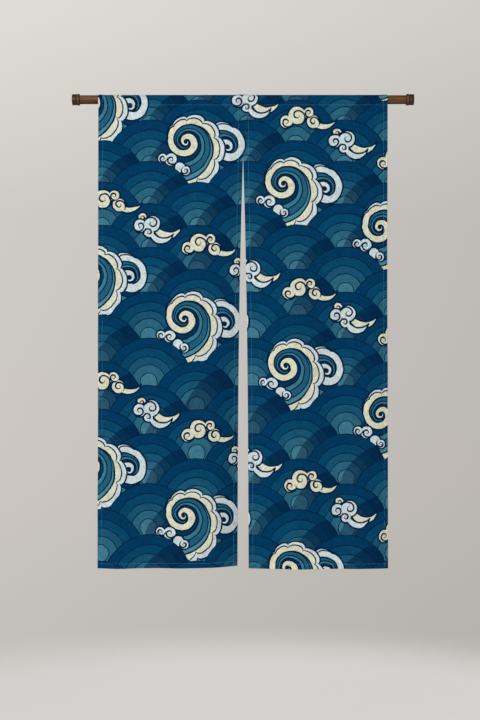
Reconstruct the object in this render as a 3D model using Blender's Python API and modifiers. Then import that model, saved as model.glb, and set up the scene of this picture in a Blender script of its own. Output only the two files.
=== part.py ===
"""A two-panel door curtain hanging from its wooden rod, modelled in metres with +Z up.

The origin is the middle of the rod's axis. +X runs along the rod and +Y points away from the viewer.
Each panel is one closed cloth body: a sleeve round the rod, then the hanging cloth with its hems and
folds. The two panels meet edge to edge as far as the top of the slit, and part below it.
"""

import math
from collections import namedtuple

import bmesh
import bpy
import numpy as np

COLLECTION_NAME = "Noren curtain on rod"

# Pieces that meet keep this clearance.
GAP = 0.0003

# Rod and end caps. The caps' outer faces are SPAN apart, the width of the opening they press against.
SPAN = 1.012
ROD_RADIUS = 0.013
ROD_SIDES = 48
CAP_LENGTH = 0.022
CAP_DRUM_RADIUS = 0.0160
CAP_NECK_RADIUS = 0.0153
CAP_BEAD_RADIUS = 0.0171
CAP_BEAD_LENGTH = 0.0078
CAP_MOUTH_RADIUS = 0.0155
CAP_CHAMFER = 0.0008
CAP_STEPS = 32
SOCKET_DEPTH = 0.012

# Cloth. The seam closes the sleeve below the rod, near the front.
CLOTH = 0.0012
HEM_CLOTH = 0.0022
SIDE_HEM = 0.0125
BOTTOM_HEM = 0.014
HEM_STEP = 0.0006
SEAM_Y = -0.010
SEAM_DROP = 0.0145
SLIT_TOP = 0.169
HEM_DROP = 1.388

# Half the slit's width rises from nothing towards SLIT_HALF_WIDTH, most of it within SLIT_EASE.
SLIT_HALF_WIDTH = 0.0173
SLIT_EASE = 0.43

# How far the outer edges stand from the middle of the curtain, at four drops below the rod's axis.
Edge = namedtuple("Edge", "drop left right")
EDGES = (
    Edge(SLIT_TOP, 0.4280, 0.4276),
    Edge(0.45, 0.4288, 0.4268),
    Edge(0.85, 0.4293, 0.4282),
    Edge(HEM_DROP, 0.4306, 0.4292),
)

# Folds of each panel, a row for each, from its outer edge (0) across to its slit edge (1). The
# cloth is flat down to the first drop above. At the other three it stands forward of its hanging
# line by these lengths, or behind it where they are negative.
Fold = namedtuple("Fold", "across upper middle hem")
FOLDS = {
    "left": (
        Fold(0.00, 0.000, -0.001, 0.000),
        Fold(0.13, 0.003, 0.005, 0.009),
        Fold(0.30, 0.001, 0.001, 0.001),
        Fold(0.45, -0.002, -0.003, -0.003),
        Fold(0.60, 0.001, 0.002, 0.004),
        Fold(0.74, 0.001, 0.001, 0.001),
        Fold(0.87, -0.005, -0.009, -0.015),
        Fold(1.00, -0.018, -0.032, -0.044),
    ),
    "right": (
        Fold(0.00, -0.002, -0.003, 0.000),
        Fold(0.07, 0.001, 0.003, 0.006),
        Fold(0.20, 0.003, 0.006, 0.010),
        Fold(0.36, 0.002, 0.005, 0.009),
        Fold(0.50, 0.006, 0.010, 0.016),
        Fold(0.64, 0.010, 0.016, 0.022),
        Fold(0.80, 0.006, 0.011, 0.014),
        Fold(1.00, -0.007, -0.006, 0.000),
    ),
}

# Fineness of each panel: rows above and beside the slit, columns between the side hems, and points
# round the sleeve.
ROWS_ABOVE_SLIT = 4
ROWS_BESIDE_SLIT = 24
COLUMNS = 18
SLEEVE_POINTS = 17

# Edges bent more than this are shaded as corners.
SHARP_ANGLE = math.radians(40)


def material(name, colour, roughness):
    """A plain Principled material."""
    made = bpy.data.materials.new(name)
    made.use_nodes = True
    made.diffuse_color = (*colour, 1.0)
    shader = made.node_tree.nodes["Principled BSDF"]
    shader.inputs["Base Color"].default_value = (*colour, 1.0)
    shader.inputs["Roughness"].default_value = roughness
    shader.inputs["Metallic"].default_value = 0.0
    return made


def add_piece(name, mesh, finish, collection, parent):
    """Put a mesh into the collection as one named piece of the curtain."""
    mesh.name = name
    mesh.materials.append(finish)
    piece = bpy.data.objects.new(name, mesh)
    piece.parent = parent
    collection.objects.link(piece)
    return piece


def shade_round(mesh):
    """Shade a round piece smooth, but for its corners."""
    mesh.shade_smooth()
    mesh.set_sharp_from_angle(angle=SHARP_ANGLE)


def smooth_curve(knots, values, at):
    """A smooth curve through the knots: cubic pieces that share their slope at each knot."""
    knots = np.asarray(knots)
    values = np.asarray(values)
    slopes = np.gradient(values, knots)
    at = np.clip(at, knots[0], knots[-1])
    piece = np.clip(np.searchsorted(knots, at, side="right") - 1, 0, len(knots) - 2)
    length = knots[piece + 1] - knots[piece]
    s = (at - knots[piece]) / length
    start = (1 + 2 * s) * (1 - s) ** 2 * values[piece] + s * (1 - s) ** 2 * length * slopes[piece]
    end = s**2 * (3 - 2 * s) * values[piece + 1] + s**2 * (s - 1) * length * slopes[piece + 1]
    return start + end


def row_drops():
    """Drops of the rows from the sleeve's seam to the bottom edge, the hem's step among them."""
    hem_top = HEM_DROP - BOTTOM_HEM
    above = np.linspace(SEAM_DROP, SLIT_TOP, ROWS_ABOVE_SLIT)
    beside = np.linspace(SLIT_TOP, hem_top - HEM_STEP, ROWS_BESIDE_SLIT)
    return np.concatenate([above, beside[1:], [hem_top, HEM_DROP]])


def column_shares(width):
    """Shares of the width at which the sections stand, the side hems' steps among them."""
    hem = SIDE_HEM / width
    step = HEM_STEP / width
    inner = np.linspace(hem + step, 1 - hem - step, COLUMNS)
    return np.concatenate([[0, hem], inner, [1 - hem, 1]])


def sleeve_rings():
    """The sleeve's section as (y, z) points, inside and outside, each starting at the seam.

    From the seam the cloth runs straight to the front of the rod, goes round over the top to below
    the rod, and runs straight back. Its outer ring has a second point at the seam, its last.
    """
    seam = np.array([SEAM_Y, -SEAM_DROP])
    clear = ROD_RADIUS + GAP
    towards_seam = math.atan2(seam[1], seam[0])
    to_tangent = math.acos(clear / np.linalg.norm(seam))
    angles = np.linspace(towards_seam - to_tangent + math.tau, towards_seam + to_tangent, SLEEVE_POINTS)
    radius = clear / math.cos((angles[0] - angles[1]) / 2)
    outwards = np.column_stack([np.cos(angles), np.sin(angles)])
    inner = np.vstack([seam, radius * outwards])
    outer = np.vstack([inner[:1], inner[1:], inner[:1]])
    outer += CLOTH * np.vstack([outwards[:1], outwards, outwards[-1:]])
    return inner, outer


def panel_sections(side):
    """The panel's sections from its outer edge to its slit edge, each an array of (x, y, z) points.

    A section holds the front of the hanging cloth from the seam down, then its back, then the
    outside and the inside of the sleeve. The front stands forward of the hanging line by the folds,
    and the back lies behind it by the cloth's thickness, or by the hem's along the edges.
    """
    sign = -1 if side == "left" else 1
    drops = row_drops()
    levels = [edge.drop for edge in EDGES]
    outer_edge = smooth_curve(levels, [getattr(edge, side) for edge in EDGES], drops)
    below_slit_top = np.clip(drops - SLIT_TOP, 0, None)
    slit_edge = GAP / 2 + SLIT_HALF_WIDTH * (1 - np.exp(-below_slit_top / SLIT_EASE))
    folds = FOLDS[side]
    across = [fold.across for fold in folds]
    depths = np.array([smooth_curve(levels, (0, *fold[1:]), drops) for fold in folds])
    in_bottom_hem = drops >= HEM_DROP - BOTTOM_HEM
    inner, outer = sleeve_rings()
    width = outer_edge[0]

    sections = []
    for share in column_shares(width):
        x = sign * (outer_edge + (slit_edge - outer_edge) * share)
        forward = np.array([smooth_curve(across, row, share) for row in depths.T])
        in_side_hem = min(share, 1 - share) * width < SIDE_HEM + HEM_STEP / 2
        thickness = np.where(in_bottom_hem | in_side_hem, HEM_CLOTH, CLOTH)
        y = outer[0, 0] - forward
        front = np.column_stack([x, y, -drops])
        back = np.column_stack([x, y + thickness, -drops])
        front[0, 1:] = outer[0]
        back[0, 1:] = outer[-1]
        rings = np.vstack([outer[1:-1], inner])
        rings = np.column_stack([np.full(len(rings), x[0]), rings])
        sections.append(np.vstack([front, back, rings]))
    return sections


def panel_mesh(side):
    """Loft one panel through its sections: its skin, the sleeve's inside, and its two edges."""
    sections = panel_sections(side)
    size = len(sections[0])
    rows = len(row_drops())
    front = list(range(rows))
    back = list(range(rows, 2 * rows))
    sleeve_out = list(range(2 * rows, 2 * rows + SLEEVE_POINTS))
    sleeve_in = list(range(2 * rows + SLEEVE_POINTS, size))

    skin = front[::-1] + sleeve_out + back
    faces = []
    for start in range(0, (len(sections) - 1) * size, size):
        for loop in (skin, sleeve_in):
            for a, b in zip(loop, loop[1:] + loop[:1]):
                faces.append((start + a, start + b, start + size + b, start + size + a))

    rim_out = [front[0], *sleeve_out, back[0]]
    rim_in = [*sleeve_in, sleeve_in[0]]
    edge = [(front[0], sleeve_in[0], back[0])]
    for outside, inside in ((front, back), (rim_out, rim_in)):
        edge += zip(outside, outside[1:], inside[1:], inside)
    for start in (0, (len(sections) - 1) * size):
        faces += [tuple(start + point for point in face) for face in edge]

    mesh = bpy.data.meshes.new(f"panel_{side}")
    mesh.from_pydata(np.vstack(sections).tolist(), [], faces)
    skin_out = bmesh.new()
    skin_out.from_mesh(mesh)
    bmesh.ops.recalc_face_normals(skin_out, faces=skin_out.faces)
    skin_out.to_mesh(mesh)
    skin_out.free()
    shade_round(mesh)
    return mesh


def rod_mesh():
    """The round pole. Each end stops a clearance short of the bottom of its cap's socket."""
    length = SPAN - 2 * (CAP_LENGTH - SOCKET_DEPTH + GAP)
    bpy.ops.mesh.primitive_cylinder_add(vertices=ROD_SIDES, radius=ROD_RADIUS, depth=length)
    made = bpy.context.object
    mesh = made.data
    bpy.data.objects.remove(made)
    shade_round(mesh)
    return mesh


def cap_outline():
    """Half section of a cap as (radius, height), from the middle of its outer face to the middle of
    its socket's bottom: a short drum, a neck, a round bead at the mouth, and the socket."""
    half_bead = CAP_BEAD_LENGTH / 2
    rise = CAP_BEAD_RADIUS - CAP_NECK_RADIUS
    turns = [math.radians(angle) for angle in range(0, 151, 30)]
    bead = [(CAP_NECK_RADIUS + rise * math.sin(a), half_bead + half_bead * math.cos(a)) for a in turns]
    socket_radius = (ROD_RADIUS + GAP) / math.cos(math.pi / CAP_STEPS)
    return [
        (0.0, CAP_LENGTH),
        (CAP_DRUM_RADIUS - CAP_CHAMFER, CAP_LENGTH),
        (CAP_DRUM_RADIUS, CAP_LENGTH - CAP_CHAMFER),
        (CAP_DRUM_RADIUS, CAP_BEAD_LENGTH + 2 * CAP_CHAMFER),
        *bead,
        (CAP_MOUTH_RADIUS, 0.0),
        (socket_radius, 0.0),
        (socket_radius, SOCKET_DEPTH),
        (0.0, SOCKET_DEPTH),
    ]


def cap_mesh():
    """A cap's outline in its XZ plane, ready to be turned about Z."""
    outline = cap_outline()
    points = [(radius, 0.0, height) for radius, height in outline]
    mesh = bpy.data.meshes.new("cap")
    mesh.from_pydata(points, [(i, i + 1) for i in range(len(points) - 1)], [])
    return mesh


def turn(piece):
    """Turn a cap's outline once about its own Z axis."""
    screw = piece.modifiers.new("Turn", "SCREW")
    screw.axis = "Z"
    screw.angle = math.tau
    screw.steps = CAP_STEPS
    screw.render_steps = CAP_STEPS
    screw.use_merge_vertices = True
    screw.merge_threshold = 0.00002
    screw.use_smooth_shade = True


def build():
    for old in list(bpy.data.objects):
        bpy.data.objects.remove(old)

    collection = bpy.data.collections.new(COLLECTION_NAME)
    bpy.context.scene.collection.children.link(collection)
    middle = bpy.data.objects.new("middle_of_rod", None)
    collection.objects.link(middle)

    cloth = material("printed_cloth", (0.006, 0.052, 0.118), 0.9)
    wood = material("stained_wood", (0.156, 0.072, 0.032), 0.5)
    dark_wood = material("dark_stained_wood", (0.070, 0.032, 0.016), 0.45)

    rod = add_piece("rod", rod_mesh(), wood, collection, middle)
    rod.rotation_euler = (0.0, math.pi / 2, 0.0)

    for name, sign in (("cap_left", -1), ("cap_right", 1)):
        cap = add_piece(name, cap_mesh(), dark_wood, collection, middle)
        cap.location = (sign * (SPAN / 2 - CAP_LENGTH), 0.0, 0.0)
        cap.rotation_euler = (0.0, sign * math.pi / 2, 0.0)
        turn(cap)

    for side in FOLDS:
        add_piece(f"panel_{side}", panel_mesh(side), cloth, collection, middle)


build()
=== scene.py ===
"""A noren curtain: two printed cotton panels hung on their wooden rod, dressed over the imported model.

Everything is in metres, with the origin in the middle of the rod's axis: +X runs along the rod, +Y away
from the viewer and +Z up. Each section below makes one piece, or one group of like pieces.
"""

import math

import bmesh
import bpy
import numpy as np
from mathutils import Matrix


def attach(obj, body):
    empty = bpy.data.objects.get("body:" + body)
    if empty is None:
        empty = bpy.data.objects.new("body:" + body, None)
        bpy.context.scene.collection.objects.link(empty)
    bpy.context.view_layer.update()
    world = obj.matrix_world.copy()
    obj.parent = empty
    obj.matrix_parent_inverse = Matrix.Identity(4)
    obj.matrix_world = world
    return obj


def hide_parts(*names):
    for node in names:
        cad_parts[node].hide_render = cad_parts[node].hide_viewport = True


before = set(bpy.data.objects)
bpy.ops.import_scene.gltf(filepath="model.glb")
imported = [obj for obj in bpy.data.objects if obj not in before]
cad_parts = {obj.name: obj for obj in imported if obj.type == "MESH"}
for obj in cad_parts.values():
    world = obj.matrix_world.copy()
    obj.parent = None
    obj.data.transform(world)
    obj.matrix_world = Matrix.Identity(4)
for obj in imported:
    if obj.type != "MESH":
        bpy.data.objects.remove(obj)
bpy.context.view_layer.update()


# ------------------------------------------------------------------------------------------- Rod
# The pole that carries the curtain: one straight turned dowel of stained hardwood, its grain running
# lengthwise, sanded and lightly oiled. It runs through the cloth sleeves into a cap at each end.

ROD_RADIUS = 0.0130
ROD_HALF_LENGTH = 0.4957
ROD_CHAMFER = 0.0008
TURNED_SIDES = 96
# Painted shade round a turned piece, by the height round its axis from -1 underneath to 1 on top: the
# stain is lightest a little above the front's middle, darker on top and darkest underneath.
PAINTED_SHADE_HEIGHTS = (-1.0, -0.5, 0.3, 0.8, 1.0)
PAINTED_SHADE_TONES = (0.48, 0.78, 1.02, 0.84, 0.66)


class Wire:
    """One output in a material's node tree. Arithmetic on wires adds Math nodes to the tree."""

    def __init__(self, tree, socket=None):
        self.tree = tree
        self.socket = socket

    def node(self, kind, settings=None, inputs=None, output=0):
        """Add a node of a kind: its settings first, then a value or a wire for each named socket."""
        made = self.tree.nodes.new(kind)
        for setting, value in (settings or {}).items():
            if setting == "stops":
                elements = made.color_ramp.elements
                elements.remove(elements[1])
                elements[0].position, elements[0].color = value[0]
                for position, colour in value[1:]:
                    elements.new(position).color = colour
            elif setting == "interpolation":
                made.color_ramp.interpolation = value
            else:
                setattr(made, setting, value)
        for key, value in (inputs or {}).items():
            if isinstance(value, Wire):
                self.tree.links.new(value.socket, made.inputs[key])
            else:
                made.inputs[key].default_value = value
        return Wire(self.tree, made.outputs[output])

    def math(self, operation, *others):
        return self.node("ShaderNodeMath", {"operation": operation}, dict(enumerate((self, *others))))

    def __add__(self, other):
        return self.math("ADD", other)

    __radd__ = __add__

    def __sub__(self, other):
        return self.math("SUBTRACT", other)

    def __rsub__(self, other):
        return self.node("ShaderNodeMath", {"operation": "SUBTRACT"}, {0: other, 1: self})

    def __mul__(self, other):
        return self.math("MULTIPLY", other)

    __rmul__ = __mul__

    def __truediv__(self, other):
        return self.math("DIVIDE", other)

    def __rtruediv__(self, other):
        return self.node("ShaderNodeMath", {"operation": "DIVIDE"}, {0: other, 1: self})

    def __lt__(self, other):
        return self.math("LESS_THAN", other)

    def __gt__(self, other):
        return self.math("GREATER_THAN", other)

    def __abs__(self):
        return self.math("ABSOLUTE")

    def fract(self):
        return self.math("FRACT")

    def least(self, other):
        return self.math("MINIMUM", other)

    def most(self, other):
        return self.math("MAXIMUM", other)

    def far(self, other):
        """Length of the line whose two legs are this wire and the other."""
        return (self * self + other * other).math("SQRT")

    def choose(self, low, high):
        """The low number where this mask is 0 and the high one where it is 1."""
        return self.node("ShaderNodeMix", {"data_type": "FLOAT"}, {0: self, 2: low, 3: high})

    def paint(self, under, over):
        """The colour `over` laid on the colour `under` through this mask."""
        return self.node("ShaderNodeMix", {"data_type": "RGBA"}, {0: self, 6: under, 7: over}, 2)

    def shade(self, colour):
        """A colour multiplied by this number."""
        return self.node("ShaderNodeVectorMath", {"operation": "SCALE"}, {0: colour, "Scale": self})

    def ramp(self, stops, interpolation="LINEAR"):
        return self.node("ShaderNodeValToRGB", {"stops": stops, "interpolation": interpolation}, {0: self})

    def bump(self, height, strength):
        """The normal tilted by the slopes of a height in metres."""
        return self.node("ShaderNodeBump", None, {"Height": height, "Strength": strength, "Distance": 1.0})

    def split(self):
        """The X, Y and Z of a wire that carries three numbers."""
        parts = self.node("ShaderNodeSeparateXYZ", None, {0: self})
        return [Wire(self.tree, socket) for socket in parts.socket.node.outputs]

    def noise(self, scale, detail, shift, roughness=0.5, distortion=0.0, dimensions="3D"):
        """Noise at this place: `scale` says how many grains a metre holds each way."""
        place = self.node("ShaderNodeMapping", None, {"Vector": self, "Location": shift, "Scale": scale})
        return place.node("ShaderNodeTexNoise", {"noise_dimensions": dimensions}, {
            "Vector": place, "Scale": 1.0, "Detail": detail,
            "Roughness": roughness, "Distortion": distortion})


def ink(red, green, blue):
    """A colour given in the 0 to 255 steps of a screen, as the linear colour that a shader wants."""
    parts = [c / 255 for c in (red, green, blue)]
    return (*[p / 12.92 if p < 0.04 else ((p + 0.055) / 1.055) ** 2.4 for p in parts], 1.0)


def finish_of(name):
    """A new node material: a wire to start from, and its Principled shader's sockets."""
    made = bpy.data.materials.new(name)
    made.use_nodes = True
    return made, Wire(made.node_tree), made.node_tree.nodes["Principled BSDF"].inputs


def wire_into(start, socket, wire):
    start.tree.links.new(wire.socket, socket)


def stained_wood(name, dark, middle, light, seed):
    """Straight-grained stained wood under wax: long streaks along X and finer dark pores in them.

    The point attribute read below multiplies the stain's colour as painted light: it paints shade in a
    cap's neck and on the top and underside of each turned piece, and a painted highlight on a cap's bead.
    """
    made, start, shader = finish_of(name)
    place = start.node("ShaderNodeTexCoord", output="Object")
    grain = place.noise((5.0, 150.0, 150.0), 5.0, (seed, 0.3, 0.7), 0.62, 0.5)
    pores = place.noise((26.0, 900.0, 900.0), 3.0, (0.0, seed, 0.0))
    tone = grain * 0.78 + pores * 0.22
    colour = tone.ramp([(0.30, dark), (0.47, middle), (0.62, light), (0.75, middle)])
    # Painted light: shade in necks and on tops and undersides, a highlight on the caps' beads.
    worn = start.node("ShaderNodeAttribute", {"attribute_name": "worn"}, output="Fac")
    wire_into(start, shader["Base Color"], worn.shade(colour))
    wire_into(start, shader["Roughness"], grain * 0.20 + 0.40)
    wire_into(start, shader["Normal"], start.bump(pores * 0.00012 + grain * 0.00008, 0.5))
    shader["Specular IOR Level"].default_value = 0.24
    return made


def finished(mesh, weld=None):
    """Weld a mesh's points that are nearer than `weld`, turn its faces outwards and shade it smooth."""
    shell = bmesh.new()
    shell.from_mesh(mesh)
    if weld:
        bmesh.ops.remove_doubles(shell, verts=shell.verts, dist=weld)
    bmesh.ops.recalc_face_normals(shell, faces=shell.faces)
    shell.to_mesh(mesh)
    shell.free()
    mesh.shade_smooth()
    return mesh


def skin(name, points, flat=None, **levels):
    """Mesh of a grid of points whose rows each close on themselves: four neighbours make one face.

    Points that fall together are welded, which closes the ends. `flat` holds each point's place on
    the flat cloth. Each of `levels` is a named number at each point for the finish to read, such as
    how far it shows the cloth's back.
    """
    rows, around = points.shape[:2]
    corner = np.arange(rows * around).reshape(rows, around)
    after = np.roll(corner, -1, axis=1)
    faces = np.stack([corner[:-1], after[:-1], after[1:], corner[1:]], axis=-1).reshape(-1, 4)
    mesh = bpy.data.meshes.new(name)
    mesh.from_pydata(points.reshape(-1, 3).tolist(), [], faces.tolist())
    if flat is not None:
        layer = mesh.uv_layers.new(name="cloth")
        layer.data.foreach_set("uv", flat.reshape(-1, 2)[faces.ravel()].ravel().astype(np.float32))
    for level, values in levels.items():
        layer = mesh.attributes.new(level, "FLOAT", "POINT")
        layer.data.foreach_set("value", values.ravel().astype(np.float32))
    return finished(mesh, weld=1e-7)


def turned(name, along, radius, worn=1.0):
    """Mesh of a turned piece: at each place along X its profile's radius is carried round the X axis.

    Its painted light is that given for the place along it times the painted shade at the height round the
    axis.
    """
    turn = np.linspace(0, math.tau, TURNED_SIDES, endpoint=False)
    along, radius, worn = (np.asarray(values, float).reshape(-1, 1) for values in (along, radius, worn))
    points = np.stack([along + 0 * turn, radius * np.cos(turn), radius * np.sin(turn)], axis=-1)
    # Painted shade by the height round the axis: darker on top, darkest underneath.
    painted_shade = np.interp(np.sin(turn), PAINTED_SHADE_HEIGHTS, PAINTED_SHADE_TONES)
    return skin(name, points, worn=worn * np.broadcast_to(painted_shade, points.shape[:2]))


def piece(name, mesh, finish, slot, *nodes):
    """Show a mesh as a named piece of the curtain that stands for CAD nodes."""
    mesh.materials.append(finish)
    made = bpy.data.objects.new(name, mesh)
    bpy.context.scene.collection.objects.link(made)
    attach(made, "root")
    if nodes:
        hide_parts(*nodes)
    return made


rod_wood = stained_wood("rod_wood", ink(58, 35, 16), ink(92, 59, 30), ink(122, 82, 45), 2.3)
chamfer = ROD_HALF_LENGTH - ROD_CHAMFER
rod_places = [-ROD_HALF_LENGTH, -ROD_HALF_LENGTH, -chamfer, *np.linspace(-0.45, 0.45, 13),
              chamfer, ROD_HALF_LENGTH, ROD_HALF_LENGTH]
rod_radii = [0, ROD_RADIUS - ROD_CHAMFER, *[ROD_RADIUS] * 15, ROD_RADIUS - ROD_CHAMFER, 0]
piece("pole", turned("pole", rod_places, rod_radii), rod_wood, "rod_wood", "rod")


# -------------------------------------------------------------------------------------- End caps
# Turned caps of darker wood pushed over the rod's ends: a short drum against the opening's side, a
# narrow neck and a round bead at the mouth.

SIDES = {"left": -1, "right": 1}
CAP_FACE = 0.506
CAP_LENGTH = 0.022
CAP_DRUM_RADIUS = 0.0160
CAP_NECK_RADIUS = 0.0153
CAP_GROOVE = 0.0003
CAP_BEAD_RADIUS = 0.0171
CAP_BEAD_LENGTH = 0.0078
CAP_MOUTH_RADIUS = 0.0155
SOCKET_DEPTH = 0.012
SOCKET_RADIUS = 0.0133


def cap_profile():
    """Places from the mouth outwards, radii and painted light there: socket, half-round bead, neck, drum,
    face.

    Corners are eased by fractions of a millimetre, and the neck is cut a little deeper beside the
    bead. The painted light grows with the radius, from painted shade at that groove's to a painted
    highlight at the bead's.
    """
    turn = np.radians(np.linspace(20, 180, 15))
    bead_along = CAP_BEAD_LENGTH / 2 * (1 - np.cos(turn))
    bead = CAP_NECK_RADIUS + (CAP_BEAD_RADIUS - CAP_NECK_RADIUS) * np.sin(turn)
    bead[0] = CAP_MOUTH_RADIUS
    along, radius = np.array([
        (SOCKET_DEPTH, 0.0),
        (SOCKET_DEPTH, SOCKET_RADIUS),
        (0.0004, SOCKET_RADIUS),
        (0.0, SOCKET_RADIUS + 0.0004),
        (0.0, CAP_MOUTH_RADIUS - 0.0003),
        *zip(bead_along, bead),
        (CAP_BEAD_LENGTH + 0.0003, CAP_NECK_RADIUS - CAP_GROOVE),
        (CAP_BEAD_LENGTH + 0.0012, CAP_NECK_RADIUS),
        (CAP_BEAD_LENGTH + 0.0018, CAP_DRUM_RADIUS - 0.0002),
        (CAP_BEAD_LENGTH + 0.0030, CAP_DRUM_RADIUS),
        (CAP_LENGTH - 0.0008, CAP_DRUM_RADIUS),
        (CAP_LENGTH - 0.0002, CAP_DRUM_RADIUS - 0.0003),
        (CAP_LENGTH, CAP_DRUM_RADIUS - 0.0009),
        (CAP_LENGTH, 0.0),
    ]).T
    # Painted shade in the groove and at smaller radii, a painted highlight on the bead.
    steps = [CAP_NECK_RADIUS - CAP_GROOVE, CAP_DRUM_RADIUS, CAP_BEAD_RADIUS]
    return along, radius, np.interp(radius, steps, [0.35, 0.80, 1.50])


cap_wood = stained_wood("cap_wood", ink(44, 26, 13), ink(74, 46, 25), ink(104, 67, 38), 5.1)
for side, sign in SIDES.items():
    along, radius, worn = cap_profile()
    cap = turned(f"turned_cap_{side}", sign * (CAP_FACE - CAP_LENGTH + along), radius, worn)
    piece(f"turned_cap_{side}", cap, cap_wood, "cap_wood", f"cap_{side}")


# ---------------------------------------------------------------------------------- Cloth panels
# Two panels of printed plain-weave cotton, hemmed on every edge. The top is turned back over the rod
# and sewn into a sleeve, and the panels are sewn edge to edge as far as the top of the slit.

CLOTH = 0.0006
HEMMED = 0.0016
FLAT_WIDTH = 0.4287
HEM_DROP = 1.388
SIDE_HEM = 0.0125
BOTTOM_HEM = 0.0146
# Where the side hems are really sewn: the outer hem's width, the slit hem's, how much wider the slit
# hem is at the top, and over what drop that fades.
SEWN_HEMS = {"left": (0.0129, 0.0125, 0.0018, 0.25), "right": (0.0119, 0.0130, 0.0030, 0.32)}
JOIN_GAP = 0.00002
SLIT_TOP = 0.169
SLIT_HALF_WIDTH = 0.0175
SLIT_EASE = 0.47
FRONT_Y = -0.01116
LEVELS = (SLIT_TOP, 0.45, 0.85, HEM_DROP)
OUTER_EDGE = {"left": (0.4280, 0.4288, 0.4293, 0.4306), "right": (0.4276, 0.4268, 0.4282, 0.4292)}
# Each fold: how far across from the outer edge (0) to the slit edge (1), then how far it stands
# forward of the hanging line at the last three levels.
FOLDS = {
    "left": (
        (0.00, 0.000, -0.001, 0.000),
        (0.13, 0.003, 0.005, 0.009),
        (0.30, 0.001, 0.001, 0.001),
        (0.45, -0.002, -0.003, -0.003),
        (0.60, 0.001, 0.002, 0.004),
        (0.74, 0.001, 0.001, 0.001),
        (0.87, -0.005, -0.009, -0.015),
        (1.00, -0.018, -0.032, -0.044),
    ),
    "right": (
        (0.00, -0.002, -0.003, 0.000),
        (0.07, 0.001, 0.003, 0.006),
        (0.20, 0.003, 0.006, 0.010),
        (0.36, 0.002, 0.005, 0.009),
        (0.50, 0.006, 0.010, 0.016),
        (0.64, 0.010, 0.016, 0.022),
        (0.80, 0.006, 0.011, 0.014),
        (1.00, -0.007, -0.006, 0.000),
    ),
}
# The small relief: what each panel's draws start from, its depths and the wavelengths of its waves.
DRAWS = {"left": 11, "right": 23}
SEAM_DIP = 0.00028
HEM_PUCKER = 0.00045
PUCKER_WAVES = (0.0125, 0.019, 0.031, 0.047)
EDGE_WAVE = 0.0009
EDGE_WAVES = (0.09, 0.15, 0.23)
SLEEVE_PUCKER = 0.0004
SLACK_STEEPNESS = 0.0042
SLACK_WAVES = (0.34, 0.26, 0.19, 0.14, 0.11, 0.085)
JOIN_WAVE = 0.0006
JOIN_WAVES = (0.047, 0.083)
# The sleeve: the line sewn across below the rod, the straight run up to the rod, the arc round it in
# degrees from behind it upwards, and the flap's run down behind the front.
SEAM_DROP = 0.0178
SLEEVE_GAP = 0.0003
SLEEVE_RADIUS = ROD_RADIUS + SLEEVE_GAP + CLOTH
FRONT_RUN = (-0.0240, -0.0152)
SLEEVE_ARC = (194.5, -83.65)
FLAP_Y = -0.0099
FLAP_RUN = (-0.0154, -0.0240)
# The grid: how far apart its columns, its rows and the rows round the sleeve are, and the turns of the
# half rounds that close its ends and its sides.
COLUMN_STEP = 0.0052
ROW_STEP = 0.0044
SLEEVE_STEP = 0.0024
END_TURNS = (0.6, 1.1, math.pi / 2)
RIM_TURNS = (math.pi / 4, math.pi / 2, 3 * math.pi / 4)


def smooth_curve(knots, values, at):
    """A smooth curve through the knots: cubic pieces that share their slope at each knot.

    A knot has one value, or a whole array that holds one for each place in `at`.
    """
    knots, values = np.asarray(knots, float), np.asarray(values, float)
    slopes = np.gradient(values, knots, axis=0)
    at = np.clip(at, knots[0], knots[-1])
    part = np.clip(np.searchsorted(knots, at, side="right") - 1, 0, len(knots) - 2)
    length = knots[part + 1] - knots[part]
    s = (at - knots[part]) / length

    def there(table, knot):
        """What a table holds for each place's knot."""
        return table[knot] if table.ndim == 1 else np.take_along_axis(table, knot[None], axis=0)[0]

    start = (1 + 2 * s) * (1 - s) ** 2 * there(values, part) + s * (1 - s) ** 2 * length * there(slopes, part)
    end = s**2 * (3 - 2 * s) * there(values, part + 1) + s**2 * (s - 1) * length * there(slopes, part + 1)
    return start + end


def bell(distance, reach):
    """A bell shape: 1 at no distance, about a third at its reach and next to nothing at twice that."""
    return np.exp(-((distance / reach) ** 2))


def wavy(at, waves, seed):
    """An irregular wave along a line: sines of several wavelengths with drawn phases, about -1 to 1."""
    phases = np.random.default_rng(seed).uniform(0, math.tau, len(waves))
    return sum(np.sin(math.tau * at / wave + phase) for wave, phase in zip(waves, phases)) / len(waves) ** 0.5


def walked_along(line):
    """The distance walked from a line's first point to each of its points."""
    return np.r_[0, np.cumsum(np.linalg.norm(np.diff(line, axis=0), axis=1))]


def sewn_hems(side, drop):
    """Widths of a panel's outer hem and of its slit hem at a drop: the slit hem is wider at the top."""
    outer, slit, wider, fade = SEWN_HEMS[side]
    return outer + 0 * drop, slit + wider * bell(drop, fade)


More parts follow.
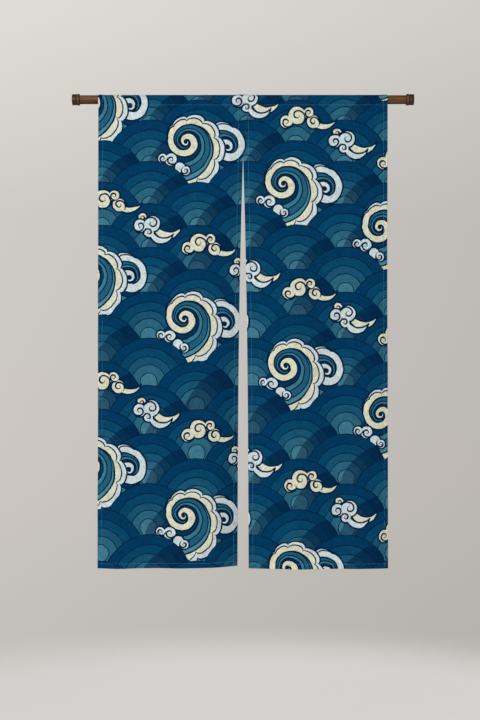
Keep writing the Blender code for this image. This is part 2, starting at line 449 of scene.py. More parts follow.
def ripple(side, across, drop):
    """How far the cloth stands forward of its folds: drawn hem seams, puckers beside them, slack.

    At each seam the cloth dips in a bell shape, and puckers follow the seam in a wider bell. A longer
    wave along each free edge fades inwards. The slack is a sum of slow waves over the whole panel, each
    as steep as the others. Above the slit the last 10 mm follow one wave, because the panels are joined.
    """
    seed = DRAWS[side]
    outer, slit, hem = across, FLAT_WIDTH - across, HEM_DROP - drop
    outer_hem, slit_hem = sewn_hems(side, drop)
    out = np.zeros(np.broadcast(across, drop).shape)
    for place, inset, run, draw in ((outer, outer_hem, drop, 1), (slit, slit_hem, drop, 2),
                                    (hem, BOTTOM_HEM, across, 3)):
        out -= SEAM_DIP * bell(place - inset, 0.0016)
        out += HEM_PUCKER * bell(place - inset, 0.013) * wavy(run, PUCKER_WAVES, seed + draw)
        out += EDGE_WAVE * np.exp(-place / 0.012) * wavy(run, EDGE_WAVES, seed + 4 + draw)
    out += SLEEVE_PUCKER * bell(drop - SEAM_DROP, 0.010) * wavy(across, PUCKER_WAVES, seed + 9)
    draws = np.random.default_rng(seed)
    below = np.clip((drop - 0.03) / 0.25, 0, 1)
    for wave in SLACK_WAVES:
        heading, phase = draws.uniform(-0.9, 0.9), draws.uniform(0, math.tau)
        run = across * math.cos(heading) + drop * math.sin(heading)
        out += below * SLACK_STEEPNESS * wave * np.sin(math.tau * run / wave + phase)
    joined = bell(slit, 0.008) * np.clip((SLIT_TOP + 0.06 - drop) / 0.07, 0, 1)
    return out * (1 - joined) + joined * JOIN_WAVE * wavy(drop, JOIN_WAVES, 41)


def printed_face(side, across, drop):
    """Points of the hanging cloth's printed face.

    `across` is the distance from the outer edge on the flat cloth, and `drop` the depth below the
    rod's axis. The outer edge and the slit edge give the width at that drop, and below its top the
    slit opens ever more slowly to its full width. A smooth curve through the folds' depths at that
    drop says how far forward the cloth stands, and ripple adds the small relief.
    """
    share = across / FLAT_WIDTH
    outer_edge = smooth_curve(LEVELS, OUTER_EDGE[side], drop)
    opened = np.clip(drop - SLIT_TOP, 0, None) / SLIT_EASE
    slit_edge = JOIN_GAP / 2 + SLIT_HALF_WIDTH * (1 - np.exp(-(opened**1.1)))
    x = SIDES[side] * (outer_edge + (slit_edge - outer_edge) * share)
    table = np.array(FOLDS[side])
    depths = [np.broadcast_to(smooth_curve(LEVELS, (0, *row), drop), x.shape) for row in table[:, 1:]]
    forward = smooth_curve(table[:, 0], depths, np.broadcast_to(share, x.shape)) + ripple(side, across, drop)
    return np.stack([x, FRONT_Y - forward, -drop + 0 * x], axis=-1)


def sleeve_path():
    """The printed face's path from the seam up, round over the rod, back below it and down behind.

    Straight runs and the arc are joined, then every corner is rounded by a running mean over 2 mm.
    The first and last few millimetres only carry that mean past the ends, and are left off again.
    Returns the distances along it from the seam, and y, z and the outward direction at each.
    """
    step, span, run_in, run_out = 0.0001, 21, 0.0065, 0.0026
    turn = np.radians(np.linspace(*SLEEVE_ARC, 400))
    corners = np.vstack([
        [(FRONT_Y, z) for z in FRONT_RUN],
        SLEEVE_RADIUS * np.column_stack([np.cos(turn), np.sin(turn)]),
        [(FLAP_Y, z) for z in FLAP_RUN],
    ])
    steps = walked_along(corners)
    fine = np.arange(0, steps[-1], step)
    line = np.column_stack([np.interp(fine, steps, corners[:, i]) for i in (0, 1)])
    padded = np.pad(line, ((span // 2, span // 2), (0, 0)), mode="edge")
    line = np.column_stack([np.convolve(padded[:, i], np.ones(span) / span, "valid") for i in (0, 1)])
    walked = walked_along(line)
    heading = np.gradient(line, walked, axis=0)
    heading /= np.linalg.norm(heading, axis=1)[:, None]
    sleeve = np.column_stack([walked - run_in, line, -heading[:, 1], heading[:, 0]])
    return sleeve[(walked >= run_in) & (walked <= walked[-1] - run_out)]


SLEEVE = sleeve_path()
SLEEVE_START = -SLEEVE[0, 2]
SLEEVE_LENGTH = SLEEVE[-1, 0]
FLAP_BEND = SLEEVE_LENGTH - 0.0064


def sleeve_face(side, across, walked):
    """Points of the printed face past the seam, at a distance walked along the sleeve's path.

    The sleeve is level along X. Its hemmed strips lie on each other, so they stand out from the
    path by the hem's extra thickness round the rod and by twice that on the flap behind it, in a
    step that the cloth rounds off. The ripple at the seam fades out over about 12 mm, and the flap
    takes up that of the cloth in front of it.
    """
    y, z, out_y, out_z = (np.interp(walked, SLEEVE[:, 0], SLEEVE[:, k]) for k in (1, 2, 3, 4))
    level = np.full(np.broadcast(across, walked).shape, SLEEVE_START)
    x = printed_face(side, across, level)[..., 0]
    outer_hem, slit_hem = sewn_hems(side, level)
    doubled = sum(1 / (1 + np.exp((place - hem - 0.0012) / 0.0007))
                  for place, hem in ((across, outer_hem), (FLAT_WIDTH - across, slit_hem)))
    layers = np.interp(walked, [0, 0.010, FLAP_BEND - 0.010, FLAP_BEND], [0, 1, 1, 2])
    rise = ripple(side, across, level) * np.exp(-walked / 0.012) + (HEMMED - CLOTH) * layers * doubled
    rise = rise - ripple(side, across, -z) * np.interp(walked, [FLAP_BEND - 0.006, FLAP_BEND], [0, 1])
    return np.stack([x, y + out_y * rise, z + out_z * rise], axis=-1)


def spaced(inset, end, step):
    """Places from an edge inwards, close together over its hem and then a step apart."""
    close = np.array([HEMMED / 2, 0.0016, 0.003, 0.005, 0.007, 0.009])
    seam = inset + np.array([-0.0024, -0.0014, -0.0007, 0.0, 0.0007, 0.0013, 0.0019, 0.0030, 0.0045, 0.0070])
    count = round((end - seam[-1]) / step)
    return np.concatenate([close, seam, np.linspace(seam[-1], end, count + 1)[1:]])


def panel_rows():
    """Drops of a panel's rows from the hem up to the seam, and the distances walked past it."""
    hems = spaced(BOTTOM_HEM, 0.06, ROW_STEP)
    top_hem = HEM_DROP - hems[-1]
    count = round((top_hem - SLEEVE_START) / ROW_STEP)
    drops = np.concatenate([HEM_DROP - hems, np.linspace(top_hem, SLEEVE_START, count + 1)[1:]])
    bend, bent = FLAP_BEND - 0.0035, FLAP_BEND + 0.0035
    walked = np.concatenate([np.arange(0.0011, 0.0055, 0.0011), np.arange(0.0055, bend, SLEEVE_STEP),
                             np.arange(bend, bent, 0.0007), np.linspace(bent, SLEEVE_LENGTH, 4)])
    return drops[:, None], walked[:, None]


def hem_strip(place, inset):
    """1 on a hem's doubled cloth, by the distance from its edge, 0 past it, and a short slope between."""
    return np.clip((inset + 0.0016 - place) / 0.0006, 0, 1)


def panel_skin(side):
    """A panel as one closed skin: its printed face carried along the path, and its back behind it.

    The back lies behind the printed face along its normal by the cloth's thickness, or by the
    hem's where cloth is doubled. Rounded rims close the sides, the hem and the end of the flap.
    Columns beside a side seam follow it where its hem is wider or narrower than SIDE_HEM.
    """
    half = spaced(SIDE_HEM, FLAT_WIDTH / 2, COLUMN_STEP)
    columns = np.concatenate([half, FLAT_WIDTH - half[-2::-1]])[None, :]
    drops, walked = panel_rows()
    levels = np.concatenate([drops, np.full_like(walked, SLEEVE_START)])
    outer_hem, slit_hem = sewn_hems(side, levels)
    outer_half, inward = columns < FLAT_WIDTH / 2, np.minimum(columns, FLAT_WIDTH - columns)
    follow = np.clip(inward / SIDE_HEM, 0, 1) * np.clip((0.06 - inward) / 0.04, 0, 1)
    across = columns + follow * np.where(outer_half, outer_hem - SIDE_HEM, SIDE_HEM - slit_hem)
    face = np.concatenate([printed_face(side, across[:len(drops)], drops),
                           sleeve_face(side, across[len(drops):], walked)])

    # Places on the flat cloth: across it by the distance walked on the face, and up it by the climb.
    climb = np.concatenate([-drops, -SLEEVE_START + walked])
    reach = np.array([walked_along(row) for row in face])
    reach = across[:, :1] + reach / reach[:, -1:] * (across[:, -1:] - across[:, :1])
    u = SIDES[side] * (JOIN_GAP / 2 + FLAT_WIDTH - reach)
    flat = np.stack([u, np.broadcast_to(climb, u.shape)], axis=-1)

    # The back, one thickness behind.
    normal = np.cross(np.gradient(face, axis=1), np.gradient(face, axis=0))
    normal /= np.linalg.norm(normal, axis=2)[:, :, None]
    normal *= -np.sign(normal[len(drops) // 2, 0, 1])
    side_strip = np.maximum(hem_strip(across, outer_hem), hem_strip(FLAT_WIDTH - across, slit_hem))
    foot_strip = hem_strip(np.concatenate([HEM_DROP - drops, np.ones_like(walked)]), BOTTOM_HEM)
    foot_strip = np.broadcast_to(foot_strip, side_strip.shape)
    doubled = np.maximum(side_strip, foot_strip)
    thick = CLOTH + (HEMMED - CLOTH) * doubled
    back = face - thick[:, :, None] * normal

    # The print that the back shows: on a hem it is that beyond the folded edge, elsewhere the reverse.
    beyond = flat.copy()
    edge_u = SIDES[side] * (JOIN_GAP / 2 + np.where(outer_half, FLAT_WIDTH, 0))
    beyond[:, :, 0] = np.where(side_strip > 0.5, 2 * edge_u - flat[:, :, 0], flat[:, :, 0])
    beyond[:, :, 1] = np.where(foot_strip > 0.5, -2 * HEM_DROP - flat[:, :, 1], flat[:, :, 1])
    reverse = 1.0 - (doubled > 0.5)

    middle, half_thick = (face + back) / 2, (face - back) / 2

    def rounded_end(at, inner):
        """Middles and half thicknesses of the rows that round off the first or the last row."""
        away = face[at] - face[inner]
        away *= (np.linalg.norm(half_thick[at], axis=1) / np.linalg.norm(away, axis=1))[:, None]
        return (np.array([middle[at] + away * math.sin(turn) for turn in END_TURNS]),
                np.array([half_thick[at] * math.cos(turn) for turn in END_TURNS]))

    (foot, foot_half), (tip, tip_half) = rounded_end(0, 1), rounded_end(-1, -2)
    middle = np.concatenate([foot[::-1], middle, tip])
    half_thick = np.concatenate([foot_half[::-1], half_thick, tip_half])
    edges = [printed_face(side, np.full_like(levels, place), levels)[..., 0] for place in (0, FLAT_WIDTH)]
    flat, beyond, reverse, thick, outer_x, slit_x = (
        np.concatenate([a[:1]] * 3 + [a] + [a[-1:]] * 3) for a in (flat, beyond, reverse, thick, *edges))
    for at, turn in zip((2, 1, 0, -3, -2, -1), END_TURNS * 2):
        print_half = (flat[at, :, 1] - beyond[at, :, 1]) / 2
        flat[at, :, 1] -= print_half * (1 - math.cos(turn))
        beyond[at, :, 1] += print_half * (1 - math.cos(turn))

    def rim(at, inner, edge_x):
        """Three places of the half round that reaches from face and back to one edge, and their print."""
        away = middle[:, at] - middle[:, inner]
        size = np.linalg.norm(half_thick[:, at], axis=1)[:, None] / (thick[:, at, None] / 2)
        away *= size * (edge_x - middle[:, at, :1]) / away[:, :1]
        print_middle, print_half = (flat[:, at] + beyond[:, at]) / 2, (flat[:, at] - beyond[:, at]) / 2
        places = [middle[:, at] + half_thick[:, at] * math.cos(turn) + away * math.sin(turn)
                  for turn in RIM_TURNS]
        return (np.stack(places, axis=1),
                np.stack([print_middle + print_half * math.cos(turn) for turn in RIM_TURNS], axis=1))

    (slit_rim, slit_flat), (outer_rim, outer_flat) = rim(-1, -2, slit_x), rim(0, 1, outer_x)
    points = np.concatenate(
        [middle + half_thick, slit_rim, (middle - half_thick)[:, ::-1], outer_rim[:, ::-1]], axis=1)
    flats = np.concatenate([flat, slit_flat, beyond[:, ::-1], outer_flat[:, ::-1]], axis=1)
    zeros = np.zeros((len(flat), len(RIM_TURNS)))
    reverses = np.concatenate([np.zeros(flat.shape[:2]), zeros, reverse[:, ::-1], zeros], axis=1)
    return skin(f"cloth_{side}", points, flats, reverse=reverses)


# The print, in millimetres of flat cloth. Rows of overlapping fans, each of five rings.
COLUMN = 287.5
HALF_COLUMN = COLUMN / 2
FIRST_ROW = 122.7
ROW_SPACING = 60.75
ROW_GROWTH = 0.4614
FAN = 131.0
RING_DEPTHS = (30.8, 57.3, 80.5, 105.2)
LINE = 2.6
BOLD = 5.0
NAVY = ink(0, 34, 64)
CREAM = ink(214, 214, 190)
PALE = ink(200, 213, 215)
HOLLOW = ink(4, 50, 86)
SHADOW = ink(0, 36, 70)
FAN_TONES = (ink(0, 56, 93), ink(6, 68, 102), ink(22, 82, 112), ink(42, 99, 122), ink(62, 118, 138))
WAVE_TONES = (ink(58, 118, 138), ink(34, 92, 120), ink(72, 132, 148), ink(44, 104, 128))
# A fan draws a number from 0 to 1: up to the first of these it has no shadow, and past the second its
# shadow reaches further than the rest. A shadow's strength at the fan's centre, and what its rim adds.
SHADED, FAR_SHADED = 0.22, 0.62
SHADOW_REACH = 34
FAR_SHADOW_REACH = 75
SHADE = 0.56
RIM_SHADE = 0.28
# A wave's spiral: how many times wider it is a turn further out, the turn where its arm ends, its
# arm's least width as a share of the spacing, the scallops in a turn and the stripes across an arm.
WAVE_GROWTH = 4.0
WAVE_END = 0.14
WAVE_WIDTH = 0.60
SCALLOPS = 9
STRIPES = 3.3
# A cloud: how many times wider a hook is a turn further out, and how far a tail's corners are rounded.
HOOK_GROWTH = 4.6
TAIL_ROUNDING = 3.0
# How wide a band the print wanders in, how far left of the cloth's middle one column stands, and how
# far the rows are moved up.
SWAY = 5.0
COLUMN_SHIFT = 130.75
ROW_SHIFT = 1.0


def fan_apex(row):
    """Drop of the fans' tops in a row: the rows' spacing grows a little down the cloth."""
    return FIRST_ROW + ROW_SPACING * row + ROW_GROWTH * row * row


def from_column(x):
    """Distance from the nearest column, which is a whole number of columns away from x = 0."""
    return x - (x / COLUMN).math("ROUND") * COLUMN


def fans(x, drop):
    """The ground: the row of fans here, the depth in the one in front, and its shaded ring's colour.

    Rows step half a column sideways, and a lower fan lies over the two above it. A fan is a
    circle, so the front one is the first of three rows whose circle holds the point. The fan in
    front of it on its right shades it within a wider circle, and more towards the shaded fan's rim.
    """
    root = (ROW_SPACING**2 + (drop - FIRST_ROW) * (4 * ROW_GROWTH)).most(1.0).math("SQRT")
    row = (root - ROW_SPACING) / (2 * ROW_GROWTH)
    first = row.math("FLOOR")
    depth = drop - fan_apex(first)
    spacing = first * (2 * ROW_GROWTH) + (ROW_SPACING - ROW_GROWTH)
    odd = (first * 0.5).fract() * 2
    same = from_column(x - odd * HALF_COLUMN)
    other = from_column(x - (1 - odd) * HALF_COLUMN)
    in_first = same.far(FAN - depth) < FAN
    in_second = other.far(FAN - depth - spacing) < FAN
    across = in_first.choose(in_second.choose(same, other), same)
    back = in_first.choose(in_second.choose(2.0, 1.0), 0.0)
    down = depth + back * spacing - (back > 1.5) * (2 * ROW_GROWTH)
    up = FAN - down
    radius = across.far(up)
    edges = [0.0] + [FAN - d for d in reversed(RING_DEPTHS)] + [FAN]
    stops = []
    for k in range(5):
        stops.append(((edges[k] + (LINE / 2 if k else 0)) / FAN, FAN_TONES[4 - k]))
        stops.append(((edges[k + 1] - (LINE / 2 if k < 4 else LINE)) / FAN, NAVY))
    colour = (radius / FAN).ramp(stops, "CONSTANT")
    column = ((x - across) / HALF_COLUMN).math("ROUND")
    cell = x.node("ShaderNodeCombineXYZ", None, {0: column, 1: first - back})
    draw = cell.node("ShaderNodeTexWhiteNoise", {"noise_dimensions": "2D"}, {"Vector": cell})
    reach = (draw > SHADED) * SHADOW_REACH + (draw > FAR_SHADED) * (draw - FAR_SHADED) * FAR_SHADOW_REACH
    shadow = ((across - HALF_COLUMN).far(up + spacing) < (FAN + reach)) * (draw > SHADED)
    return row, down, (shadow * (radius / FAN * RIM_SHADE + SHADE)).paint(colour, SHADOW)


def place_motif(x, row, drop, x0, row0):
    """Coordinates of the nearest repeat of a motif: every column it steps two rows down."""
    u = x - x0
    column = (u / COLUMN).math("ROUND")
    from_row = row - row0 - column * 2
    home = (from_row / 8).math("ROUND") * 8 + column * 2 + row0
    return u - column * COLUMN, fan_apex(home) - drop


def curling_wave(colour, u, v, seen, centre, hand, base, size, foam, first):
    """A breaking wave between two arms of a log spiral, with a scalloped rim of foam.

    Turns along the arm count from the point at the bearing `base`, in degrees, and `size` away from
    the centre, and are negative further in. A `hand` of -1 mirrors the wave. `f` is the place across
    the arm as a share of the spiral's spacing: trunk stripes from 0 up to the foam's line, which
    rises from 0 at the turn `first`, foam from there to the spray, and its scallops at the rim.
    """
    dx, dy = (u - centre[0]) * hand, v - centre[1]
    radius = dx.far(dy)
    turned_by = (base / 360 - dy.math("ARCTAN2", dx) / math.tau).fract()
    s = (radius / size).math("LOGARITHM", WAVE_GROWTH) - turned_by
    arm = s.math("FLOOR")
    f = s - arm
    turns = arm + turned_by
    width = (WAVE_WIDTH - 0.36 * (turns + 0.45)).most(WAVE_WIDTH).least(0.86)
    q = (turns * SCALLOPS).fract() * 2 - 1
    swell = ((turns - first * 0.62) * 4).most(0.0).least(1.0)
    rim = width + (1 - q * q).math("SQRT") * swell * 0.11
    gap = f > rim
    hollow = gap * (turns < WAVE_END - 1)
    over = f > (rim + 1) * 0.5
    f = f - over
    turns = turns + over
    scale = radius * math.log(WAVE_GROWTH)
    foam_line = ((turns - first) / -first).most(0.0).least(1.0).math("SQRT") * (width - 0.13)
    spray_line = rim - swell * 0.105
    in_arm = (f > (-BOLD / 2) / scale) * (f < rim + (BOLD / 2) / scale) * (turns < WAVE_END)
    rim_line = abs(f).least(abs(f - rim)) * scale < BOLD / 2
    tones = [(k / STRIPES, tone) for k, tone in enumerate(WAVE_TONES)]
    body_colour = (f > foam_line).paint((f / width).ramp(tones, "CONSTANT"), foam)
    body_colour = (f > spray_line).paint(body_colour, PALE)
    body_colour = gap.paint(body_colour, HOLLOW)
    stripe = (0.5 - abs((f / width * STRIPES).fract() - 0.5)) * width * scale < (BOLD * 0.36 * STRIPES)
    stripe = stripe * (f > 0.0) * (f < foam_line)
    spray_edge = (abs(f - spray_line) * scale < BOLD * 0.40) * (swell > 0.05)
    line = ((abs(f - foam_line) * scale < BOLD / 2).most(stripe).most(spray_edge) * (1 - gap)).most(rim_line)
    return (in_arm.most(hollow) * seen).paint(colour, line.paint(body_colour, NAVY))


def cloud(colour, u, v, discs, tails, fill, seen=None):
    """A cloud drawn as joined discs, each with a hook that winds in from its edge, and curved tails.

    The outline follows the least of the discs' and tails' distances. A disc is its centre's two
    places, its radius, its hook's bearing or None, and its hand. The hook is a log spiral from the
    disc's edge at that bearing. A tail is one disc with another cut out of it, its corners rounded.
    """
    distance = hooks = None
    for cx, cy, size, bearing, hand in discs:
        dx, dy = (u - cx) * hand, v - cy
        radius = dx.far(dy)
        if bearing is not None:
            turned_by = (dy.math("ARCTAN2", dx) / math.tau - bearing / 360).fract()
            s = (size / radius).math("LOGARITHM", HOOK_GROWTH) - turned_by
            hook = s.math("PINGPONG", 0.5) * radius < BOLD / 2 / math.log(HOOK_GROWTH)
            hook = hook * (radius > size * 0.20) * (radius < size)
            hooks = hook if hooks is None else hooks.most(hook)
        distance = radius - size if distance is None else distance.least(radius - size)
    for x1, y1, r1, x2, y2, r2 in tails:
        inside = ((u - x1).far(v - y1) - (r1 - TAIL_ROUNDING)).most(0.0)
        outside = ((r2 + TAIL_ROUNDING) - (u - x2).far(v - y2)).most(0.0)
        distance = distance.least(inside.far(outside) - TAIL_ROUNDING)
    line = (abs(distance) < BOLD / 2).most(hooks)
    mask = distance < BOLD / 2
    return (mask if seen is None else mask * seen).paint(colour, line.paint(fill, NAVY))


def figures(colour, x, row, drop, down):
    """The waves and clouds of one repeat, each laid over the fans at its own place.

    The two waves and the cloud at their foot show only over the rows of fans above their own, so
    they rise from behind it.
    """
    u, v = place_motif(x, row, drop, 0.0, 1.0)
    seen = v + down > 33.0
    colour = curling_wave(colour, u, v, seen * (v > -50.0), (84, 40), -1, -56, 52, PALE, -0.85)
    colour = curling_wave(colour, u, v, seen, (-38, 56), 1, -72, 56, CREAM, -1.15)
    colour = cloud(colour, u, v, [(-108, 8, 15, 200, -1), (-82, 4, 20, 190, -1), (-56, -20, 17, None, 1),
                                  (-38, -30, 15, 150, 1)], [], PALE, seen)
    u, v = place_motif(x, row, drop, 14.0, 4.9)
    colour = cloud(colour, u, v, [(-42, -12, 20, 200, -1), (-10, 6, 28, 300, 1), (24, 16, 17, 230, -1),
                                  (38, -12, 21, 330, 1)], [(66, 6, 42, 74, 30, 48)], CREAM)
    u, v = place_motif(x, row, drop, HALF_COLUMN + 12.0, 6.05)
    colour = cloud(colour, u, v, [(-34, 24, 15, 150, 1)], [(40, 4, 44, 48, 28, 46)], CREAM)
    return cloud(colour, u, v, [(-40, 0, 20, 210, 1), (-4, 6, 25, 20, -1), (-14, -20, 16, 340, -1)],
                 [(22, -18, 36, 30, 2, 38)], PALE)


def cotton_print():
    """The printed cotton: the fan ground, waves and clouds on it, yarn grain, and its paler back."""
    made, start, shader = finish_of("printed_cotton")
    flat = start.node("ShaderNodeUVMap", {"uv_map": "cloth"})
    metres_x, metres_y = flat.split()[:2]
    warp = start.node("ShaderNodeTexNoise", {"noise_dimensions": "2D"},
                      {"Vector": flat, "Scale": 26.0, "Detail": 2.0}, "Color")
    sway_x, sway_y = warp.split()[:2]
    x = metres_x * 1000.0 + (sway_x - 0.5) * SWAY + COLUMN_SHIFT
    drop = metres_y * -1000.0 + (sway_y - 0.5) * SWAY + ROW_SHIFT
    row, down, colour = fans(x, drop)
    colour = figures(colour, x, row, drop, down)

    def yarns(along, across, detail, shift_u, shift_v):
        """Noise on the flat cloth with so many grains to a metre across it and up it."""
        return flat.noise((along, across, 1.0), detail, (shift_u, shift_v, 0.0), 0.6, dimensions="2D")

    weft, warps = yarns(120.0, 1100.0, 2.0, 0.0, 3.0), yarns(1100.0, 120.0, 2.0, 5.0, 0.0)
    slubs = yarns(60.0, 360.0, 2.0, 2.0, 6.0) + yarns(360.0, 60.0, 2.0, 8.0, 4.0)
    mottle = yarns(38.0, 38.0, 3.0, 1.7, 9.1)
    grain = (weft + warps - 1.0) * 0.44 + (slubs - 1.0) * 0.60 + (mottle - 0.5) * 0.38
    colour = (1 + grain).shade(colour)
    reverse = start.node("ShaderNodeAttribute", {"attribute_name": "reverse"}, output="Fac")
    colour = (reverse * 0.40).paint(colour, ink(128, 162, 184))
    wire_into(start, shader["Base Color"], colour)
    shader["Roughness"].default_value = 0.9
    shader["Specular IOR Level"].default_value = 0.04
    wire_into(start, shader["Normal"], start.bump((weft + warps) * 0.0004, 0.5))
    return made


printed_cotton = cotton_print()
for side in SIDES:
    piece(f"cloth_{side}", panel_skin(side), printed_cotton, "printed_cloth", f"panel_{side}")


# ------------------------------------------------------------------------------------- Stitching
# Hems and sleeve are sewn with one row of lockstitch in light blue cotton thread, which lies in a
# shallow drawn line on both faces. The panels are whipped together at the back above the slit.

THREAD_RADIUS = 0.00025
STITCH_LENGTH = 0.0023
STITCH_PITCH = 0.0025
STITCH_SIDES = 6
WHIP_RADIUS = 0.00035
WHIP_LENGTH = 0.0052
WHIP_PITCH = 0.0040
WHIP_SLANT = 0.6


def stitches(centres, along, out, length=STITCH_LENGTH, radius=THREAD_RADIUS):
    """Points and faces of stitches: each a short spindle whose ends dip into the cloth.

    A stitch is a point at each end and three rings between them, numbered from end to end. Each
    stands at t along the stitch, and is lowered by t squared. The outer two rings are a little thin.
    """
    t = np.array([-1.0, -0.72, 0.0, 0.72, 1.0])
    swell = np.array([0.85, 1.0, 0.85])
    turn = np.linspace(0, math.tau, STITCH_SIDES, endpoint=False)
    across = np.cross(out, along)
    spine = (centres[:, None] + along[:, None] * (t * length / 2)[None, :, None]
             + out[:, None] * (radius * (0.7 - 1.1 * t**2))[None, :, None])
    ring = (across[:, None, None] * np.cos(turn)[None, None, :, None]
            + out[:, None, None] * np.sin(turn)[None, None, :, None])
    rings = spine[:, 1:4, None] + ring * (radius * swell)[None, :, None, None]
    points = np.concatenate([spine[:, :1], rings.reshape(len(centres), -1, 3), spine[:, 4:]], axis=1)
    k = np.arange(STITCH_SIDES)
    after = np.roll(k, -1)
    near, midway, far, last = (1 + STITCH_SIDES * number for number in range(4))
    quads = np.concatenate([np.stack([a + k, a + after, b + after, b + k], axis=1)
                            for a, b in ((near, midway), (midway, far))])
    tris = np.concatenate([np.stack([0 * k, near + after, near + k], axis=1),
                           np.stack([0 * k + last, far + k, far + after], axis=1)])
    offset = (last + 1) * np.arange(len(centres))[:, None, None]
    return points.reshape(-1, 3), (quads + offset).reshape(-1, 4), (tris + offset).reshape(-1, 3)


def stitch_mesh(name, groups):
    """One mesh of several groups of stitches."""
    faces, start = [], 0
    for points, quads, tris in groups:
        faces += (quads + start).tolist() + (tris + start).tolist()
        start += len(points)
    mesh = bpy.data.meshes.new(name)
    mesh.from_pydata(np.concatenate([points for points, _, _ in groups]).tolist(), [], faces)
    return finished(mesh)


def sewn_line(surface, side, across, down, thick, turned_up=False):
    """Stitches along a line on a surface of the cloth, and between them on its back if it shows.

    `surface` gives the points of a side's cloth from how far across and how far down, or up the
    sleeve, they are. Out from the print is the cross product of the steps across and down. With a
    thickness of 0 the back is left without stitches.
    """
    walked = walked_along(surface(side, across, down))
    small = 0.0004
    facing = SIDES[side] * (-1 if turned_up else 1)
    groups = []
    for face, shift in ((1, 0.0), (-1, 0.5))[:2 if thick else 1]:
        places = np.arange(STITCH_PITCH * (0.6 + shift), walked[-1] - STITCH_PITCH / 2, STITCH_PITCH)
        a, d = np.interp(places, walked, across), np.interp(places, walked, down)
        centre = surface(side, a, d)
        out = np.cross(surface(side, a + small, d) - surface(side, a - small, d),
                       surface(side, a, d + small) - surface(side, a, d - small))
        out *= facing / np.linalg.norm(out, axis=1)[:, None]
        ahead = surface(side, *(np.interp(places + small, walked, line) for line in (across, down)))
        along = (ahead - centre) / np.linalg.norm(ahead - centre, axis=1)[:, None]
        if face < 0:
            centre, out = centre - thick * out, -out
        groups.append(stitches(centre, along, out))
    return groups


def sewing_thread():
    """Light blue cotton thread: matt, a little uneven along its length."""
    made, start, shader = finish_of("sewing_thread")
    place = start.node("ShaderNodeTexCoord", output="Object")
    mottle = start.node("ShaderNodeTexNoise", None, {"Vector": place, "Scale": 260.0, "Detail": 2.0})
    wire_into(start, shader["Base Color"], mottle.ramp([(0.3, ink(84, 136, 164)), (0.7, ink(114, 166, 192))]))
    wire_into(start, shader["Normal"], start.bump(mottle * 0.0002, 0.4))
    shader["Roughness"].default_value = 0.85
    return made


thread = sewing_thread()
for side in SIDES:
    lines = []
    drops = np.linspace(SLEEVE_START, HEM_DROP - 0.003, 700)
    climbs = np.linspace(0.0, SLEEVE_LENGTH - 0.0006, 120)
    outer_hem, slit_hem = sewn_hems(side, drops)
    top_outer, top_slit = sewn_hems(side, np.full_like(climbs, SLEEVE_START))
    for across, top_across in ((outer_hem, top_outer), (FLAT_WIDTH - slit_hem, FLAT_WIDTH - top_slit)):
        lines += sewn_line(printed_face, side, across, drops, HEMMED)
        lines += sewn_line(sleeve_face, side, top_across, climbs, 0, turned_up=True)
    places = np.linspace(0.003, FLAT_WIDTH - 0.003, 300)
    lines += sewn_line(printed_face, side, places, np.full_like(places, HEM_DROP - BOTTOM_HEM), HEMMED)
    lines += sewn_line(printed_face, side, places, np.full_like(places, SEAM_DROP), 2 * CLOTH + 0.0001)
    seams = stitch_mesh(f"stitching_{side}", lines)
    piece(f"stitching_{side}", seams, thread, "printed_cloth")

whip_drop = np.arange(0.024, SLIT_TOP - 0.002, WHIP_PITCH)
centres = np.column_stack([0 * whip_drop, 0 * whip_drop + FRONT_Y + HEMMED, -whip_drop])
slant = np.tile([math.cos(WHIP_SLANT), 0.0, math.sin(WHIP_SLANT)], (len(centres), 1))
backwards = np.tile([0.0, 1.0, 0.0], (len(centres), 1))
whipping = stitch_mesh("whip_stitching", [stitches(centres, slant, backwards, WHIP_LENGTH, WHIP_RADIUS)])
whipping = piece("whip_stitching", whipping, thread, "printed_cloth")


# --------------------------------------------------------------------------------------- Setting
# A pale floor that glows a little and fades out before a pale, softly graded surround. The camera is
# level with the curtain's middle. Three soft lights that it doesn't see stand in front on the left (the
# key), in front on the right (a weaker fill) and behind.

FLOOR = -2.2
FLOOR_FADES = (2.0, 2.9)
LIGHTS_AIM = (0.0, 0.0, -0.7)

span = FLOOR_FADES[1] + 0.05
corners = [(x, y, FLOOR) for x, y in ((-span, -span), (span, -span), (span, span), (-span, span))]
floor_mesh = bpy.data.meshes.new("floor")
floor_mesh.from_pydata(corners, [], [(0, 1, 2, 3)])
plaster, start, shader = finish_of("pale_floor")
floor_x, floor_y = start.node("ShaderNodeTexCoord", output="Object").split()[:2]
fade = start.node(
    "ShaderNodeMapRange", {"interpolation_type": "SMOOTHSTEP"},
    {0: floor_x.far(floor_y), 1: FLOOR_FADES[0], 2: FLOOR_FADES[1], 3: 1.0, 4: 0.0})
wire_into(start, shader["Alpha"], fade)
shader["Base Color"].default_value = ink(142, 140, 137)
shader["Roughness"].default_value = 0.95
shader["Specular IOR Level"].default_value = 0.1
shader["Emission Color"].default_value = ink(190, 188, 185)
shader["Emission Strength"].default_value = 1.0
floor_mesh.materials.append(plaster)
floor = bpy.data.objects.new("floor", floor_mesh)
bpy.context.scene.collection.objects.link(floor)

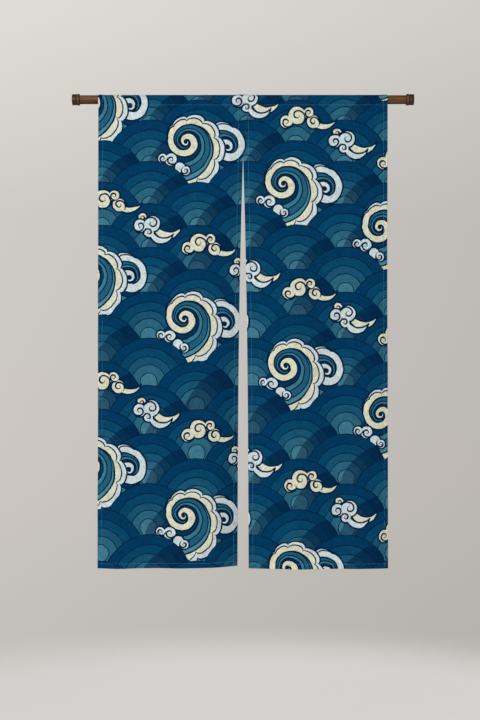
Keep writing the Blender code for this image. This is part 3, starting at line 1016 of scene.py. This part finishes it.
# The surround is what the camera sees, graded by height and sideways. The room is what falls on the
# curtain: brightest level with it, and darker below and above.
world = bpy.data.worlds.new("surround")
world.use_nodes = True
start = Wire(world.node_tree)
sideways, _, rise = start.node("ShaderNodeTexCoord").split()
height = rise * 0.5 + 0.5
surround = height.ramp([
    (0.0, ink(196, 192, 187)), (0.37, ink(188, 184, 178)), (0.40, ink(190, 186, 180)),
    (0.45, ink(196, 191, 186)), (0.56, ink(199, 195, 190)), (0.64, ink(216, 213, 208)),
    (1.0, ink(222, 220, 216))])
surround = (1 - sideways * 0.42).least(1.09).most(0.91).shade(surround)
room = height.ramp([
    (0.0, (0.12, 0.119, 0.116, 1.0)), (0.40, (0.16, 0.158, 0.155, 1.0)), (0.50, (0.30, 0.299, 0.296, 1.0)),
    (0.58, (0.30, 0.299, 0.296, 1.0)), (0.68, (0.19, 0.19, 0.19, 1.0)), (1.0, (0.17, 0.17, 0.17, 1.0))])
seen = start.node("ShaderNodeLightPath")
background = world.node_tree.nodes["Background"].inputs
wire_into(start, background["Color"], seen.paint(room, surround))
background["Strength"].default_value = 1.0
bpy.context.scene.world = world


def soft_light(name, place, size, power):
    """A square area light that faces the curtain and isn't seen itself."""
    lamp = bpy.data.lights.new(name, "AREA")
    lamp.size = size
    lamp.energy = power
    made = bpy.data.objects.new(name, lamp)
    made.location = place
    direction = np.array(LIGHTS_AIM) - np.array(place)
    tilt = math.acos(-direction[2] / np.linalg.norm(direction))
    made.rotation_euler = (tilt, 0.0, math.atan2(direction[1], direction[0]) - math.pi / 2)
    made.visible_camera = False
    bpy.context.scene.collection.objects.link(made)


soft_light("key", (-2.2, -4.4, 1.0), 2.0, 185)
soft_light("fill", (2.6, -3.6, 0.2), 2.4, 33)
soft_light("back", (1.8, 3.4, 0.6), 2.4, 45)

lens = bpy.data.cameras.new("camera")
lens.lens = 59.0
lens.sensor_width = 36.0
lens.sensor_fit = "AUTO"
camera = bpy.data.objects.new("camera", lens)
camera.location = (-0.009, -3.5, -0.772)
camera.rotation_euler = (math.pi / 2, 0.0, 0.0)
bpy.context.scene.collection.objects.link(camera)
bpy.context.scene.camera = camera
bpy.context.scene.view_settings.view_transform = "Standard"
